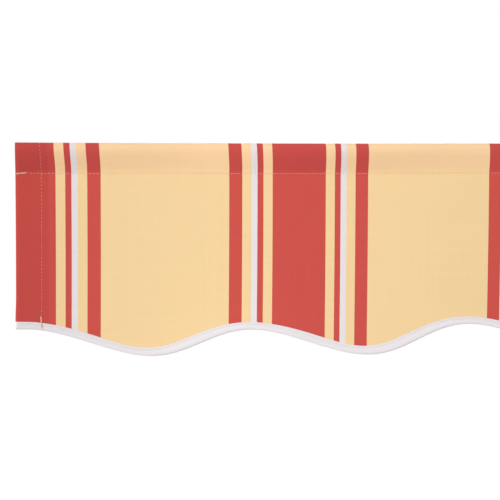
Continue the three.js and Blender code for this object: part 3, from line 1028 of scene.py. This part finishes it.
# How far out of the hem's line each run of the back-tack is, at its lower and at its upper end, in mm
BACK_TACK_RUNS = ((0.75, 1.1), (-0.75, 0.7), (0.35, 1.0), (-0.35, 0.8))
THREAD_END_INSET = 1.5 * MM
STEP_OFF_TAPE = 1.2 * MM
# How far a hem's thread is out of the tape, in a hole and on top
HEM_ON_TAPE = (-0.8 * THREAD_RADIUS, 0.8 * THREAD_RADIUS)


def tape_face_out(up, width):
    """The distance of the tape's outer face from the cloth's middle."""
    return tape_lift(up, width) + TAPE_THICKNESS / 2


def over_tape(v, lifted):
    """The distance of a hem's thread from the cloth's middle, on either face: on the tape's outer face, and
    above the tape on the cloth."""
    rise = v - CREST_V
    width = tape_width(np.full_like(v, HEM_STITCH_X))
    on_tape = tape_face_out(np.clip(rise, TAPE_FACE, width), width) + mix(*HEM_ON_TAPE, lifted)
    return mix(on_tape, on_cloth(lifted), smooth((rise - width) / STEP_OFF_TAPE))


def hem_seam_path(side, face):
    """u, v and out along a hem's seam, from just above the lower edge to the end of the tail. The fold takes
    up more cloth near the tape, so there the back line is further out on the flat cut."""
    v, lifted = stitch_line(CREST_V + KNOT_UP, TAIL_END - THREAD_END_INSET, STITCH_LENGTH, HEM_STITCH_SUNK)
    if face == "front":
        u = np.full_like(v, HEM_STITCH_X)
    else:
        u = 2 * FOLD_LINE + np.pi * fold_radius(v - CREST_V) - HEM_STITCH_X
    return side * u, v, over_tape(v, lifted)


def back_tack_path(side):
    """u, v and out of the stitches that lock a hem's seam: from the knot the same stretch is sewn up and down
    again twice. Each run lies a little beside the last and on top of it, and leans outwards as it climbs."""
    v, lifted = stitch_line(CREST_V + KNOT_UP, CREST_V + BACK_TACK_TOP, STITCH_LENGTH)
    climbed = (v - v[0]) / (v[-1] - v[0])
    out = over_tape(v, lifted)
    runs = []
    for number, (low, high) in enumerate(BACK_TACK_RUNS):
        run = (HEM_STITCH_X + mix(low, high, climbed) * MM, v, out + BACK_TACK_PILE * number)
        runs.append([values[::-1] if number % 2 else values for values in run])
    u, v, out = (np.concatenate(values) for values in zip(*runs))
    return side * u, v, out


def knot_path(side):
    """u, v and out of the tied end below a front hem seam, from its cut end up: the end climbs to the tape's
    face, and then one and a half turns of a small loop lie on it."""
    fall = np.linspace(1, 0, 8)[:-1]
    angle = np.linspace(3 * np.pi, 0, 22)
    loop_u = HEM_STITCH_X + KNOT_RADIUS * np.sin(angle)
    loop_v = CREST_V + KNOT_UP - KNOT_RADIUS * (1 - np.cos(angle))
    u = np.concatenate([loop_u[0] - KNOT_END_REACH * fall**KNOT_END_BEND, loop_u])
    v = np.concatenate([loop_v[0] - KNOT_END * fall, loop_v])
    width = tape_width(u)
    face = tape_face_out(np.clip(v - CREST_V, KNOT_FACE_LOW, width), width)
    pile = np.concatenate([np.cos(fall), angle / angle[0]])
    return side * u, v, face + THREAD_RADIUS * (1 + KNOT_RISE * pile)


def tied_seam_path(side):
    """A front hem seam with its knot and its back-tack, as one thread from the cut end up."""
    parts = (knot_path(side), back_tack_path(side), hem_seam_path(side, "front"))
    return [np.concatenate(pieces) for pieces in zip(*parts)]


for hem, side in (("left_hem", -1), ("right_hem", 1)):
    sew(hem, tied_seam_path(side), hem_seam_path(side, "back"), seam_thread)

# %% [markdown]
# ## The tape's stitches
#
# The tape is sewn with white thread, one line on its front and one on its back, about 2.5 mm below its cut
# edges. The path is the lower edge moved up square to itself.

# %% The tape's stitches
# How far the tape's own thread is out of the tape, in a hole and on top
TAPE_THREAD_OUT = (-0.9 * THREAD_RADIUS, 0.6 * THREAD_RADIUS)


def tape_seam_path(face):
    """u, v and out along the tape's stitches on one face, 1 for the front and -1 for the back."""
    end = FLAT_HALF - THREAD_END_INSET
    level, lifted = stitch_line(-end, end, TAPE_STITCH_LENGTH)
    width = tape_width(np.clip(level, -FOLD_LINE, FOLD_LINE))
    up = width - TAPE_STITCH_INSET
    return *edge_place(level, up), face * (tape_face_out(up, width) + mix(*TAPE_THREAD_OUT, lifted))


sew("binding", tape_seam_path(1), tape_seam_path(-1), binding_thread)

# %% [markdown]
# ## Joining the frame
#
# Each piece stands for one CAD node, whose own mesh is hidden, and rides on the part's only body.

# %% Joining the frame
pieces = [(cloth, "valance_cloth", "awning_cloth"), (binding, "edge_binding", "binding_tape")]
for seam in ("sleeve", "binding", "left_hem", "right_hem"):
    front, back = sewn[seam]
    slot = "binding_thread" if seam == "binding" else "seam_thread"
    pieces += [(front, f"{seam}_needle_thread", slot), (back, f"{seam}_bobbin_thread", slot)]
for piece, node, slot in pieces:
    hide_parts(node)
    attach(piece, "root")

# %% [markdown]
# ## The studio
#
# The photo has a plain white background and soft light from the front, the left and a little above. The
# background is white only where it is seen, so that it adds no light. The floor lies well below the hanging
# strip and is brightened where it is seen in the same way, and still takes its shadow.

# %% The world and the floor
WORLD_LIGHT = 0.28
FLOOR_Z = -0.62
FLOOR_REACH = 9.0
FLOOR_GLOW = 0.24


def seen_directly(tree):
    """1 for a ray from the camera, by a mirror or through glass, and 0 for light that falls on things."""
    path = add(tree, "LightPath").outputs
    shown = calc(tree, "MAXIMUM", path["Is Camera Ray"], path["Is Glossy Ray"])
    return calc(tree, "MAXIMUM", shown, path["Is Transmission Ray"])


def make_world():
    """An even pale light all round, which is seen as white."""
    world = bpy.data.worlds.new("studio")
    world.use_nodes = True
    tree = world.node_tree
    strength = calc(tree, "MAXIMUM", seen_directly(tree), WORLD_LIGHT)
    fill(tree, tree.nodes["Background"], Color=(1, 1, 1, 1), Strength=strength)
    return world


def make_floor():
    """A large pale floor, made brighter only where it is seen."""
    mesh = bpy.data.meshes.new("floor")
    corners = [(x * FLOOR_REACH, y * FLOOR_REACH, FLOOR_Z) for x, y in ((-1, -1), (1, -1), (1, 1), (-1, 1))]
    mesh.from_pydata(corners, [], [(0, 1, 2, 3)])
    material, tree, shader = new_material("floor")
    fill(tree, shader, Base_Color=(0.8, 0.8, 0.8, 1), Roughness=1.0, Specular_IOR_Level=0.0)
    glow = calc(tree, "MULTIPLY", seen_directly(tree), FLOOR_GLOW)
    fill(tree, shader, Emission_Color=(1, 1, 1, 1), Emission_Strength=glow)
    mesh.materials.append(material)
    return add_object("floor", mesh)


bpy.context.scene.world = make_world()
make_floor()
bpy.context.scene.view_settings.view_transform = "Standard"
print("floor at", FLOOR_Z, "m")

# %% [markdown]
# ## Lamps and camera
#
# The main light comes from the left, in front and a little above, and rakes across the cloth. It is a sun
# with a wide angle, as soft as a large studio lamp but the same all along the strip. A second one lights the
# back. The camera stands close to the left end with a long lens, so the strip runs out of the picture on the
# right, as in the photo.

# %% Lamps and camera
LAMP_SPREAD = 28
LAMP_SPOT = (0, 0, -0.1)
# The name, place and strength of each lamp
LAMPS = (("main_lamp", (-3.3, -2.4, 1.8), 2.92), ("back_lamp", (1.8, 3.4, 2.0), 1.9))
CAMERA_LENS = 100.8
CAMERA_PLACE = (-0.7090, -1.5416, -0.0081)
CAMERA_SPOT = (-0.5046, 0.005, -0.1087)
CAMERA_ROLL = 0.11


def place_thing(name, data, place, spot, roll=0.0):
    """A lamp or camera that looks at a spot, and is rolled by some degrees about its own view."""
    thing = add_object(name, data)
    thing.location = place
    way = Vector(spot) - thing.location
    thing.rotation_mode = "QUATERNION"
    thing.rotation_quaternion = way.to_track_quat("-Z", "Y") @ Quaternion((0, 0, 1), np.radians(roll))
    return thing


for lamp_name, lamp_place, strength in LAMPS:
    lamp = bpy.data.lights.new(lamp_name, "SUN")
    lamp.angle = np.radians(LAMP_SPREAD)
    lamp.energy = strength
    place_thing(lamp_name, lamp, lamp_place, LAMP_SPOT)

camera_data = bpy.data.cameras.new("camera")
camera_data.lens = CAMERA_LENS
camera_data.sensor_width = 36
camera = place_thing("camera", camera_data, CAMERA_PLACE, CAMERA_SPOT, CAMERA_ROLL)
bpy.context.scene.camera = camera
print("camera lens:", camera_data.lens, "mm")
